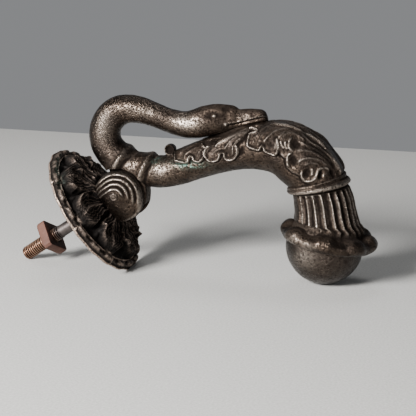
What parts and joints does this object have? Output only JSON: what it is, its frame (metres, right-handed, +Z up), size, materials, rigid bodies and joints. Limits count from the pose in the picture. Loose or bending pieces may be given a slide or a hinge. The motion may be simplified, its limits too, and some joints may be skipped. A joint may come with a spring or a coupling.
{
  "type": "door knocker",
  "caption": "Cast bronze swan door knocker: lobed round plate with a fork and through-bolt, and a hinged swan arm ending in a ball.",
  "frame": {"origin": "under the middle of the knocker as it lies on a table, on the table's surface", "axes": "+X from the bolt's end towards the striking ball, +Y across the plate along the hinge pin, +Z up from the table; the arm swings in the plane Y = 0"},
  "size_m": [0.2034, 0.0774, 0.0983],
  "materials": {
    "bronze": "dark patinated cast bronze, rubbed bright on its ridges",
    "black_bronze": "blackened cast bronze with a brown rim and green spots",
    "dull_bronze": "dull grey-brown, worn where it strikes",
    "iron": "old iron, copper-brown thread and grey shank",
    "rusty_iron": "matt pink-brown rust"
  },
  "bodies": {
    "wall_plate": {"rosette": "black_bronze", "pivot_fork": "bronze", "threaded_stud": "iron", "square_nut": "rusty_iron", "hinge_pin": "bronze"},
    "knocker_arm": {"swan_arm": "bronze", "striker_ball": "dull_bronze"}
  },
  "joints": [
    {"name": "arm_swing", "type": "hinge", "parent": "wall_plate", "child": "knocker_arm", "pos_m": [-0.04139, 0, 0.04389], "axis": [0, 1, 0], "range_deg": [-17, 44]}
  ]
}
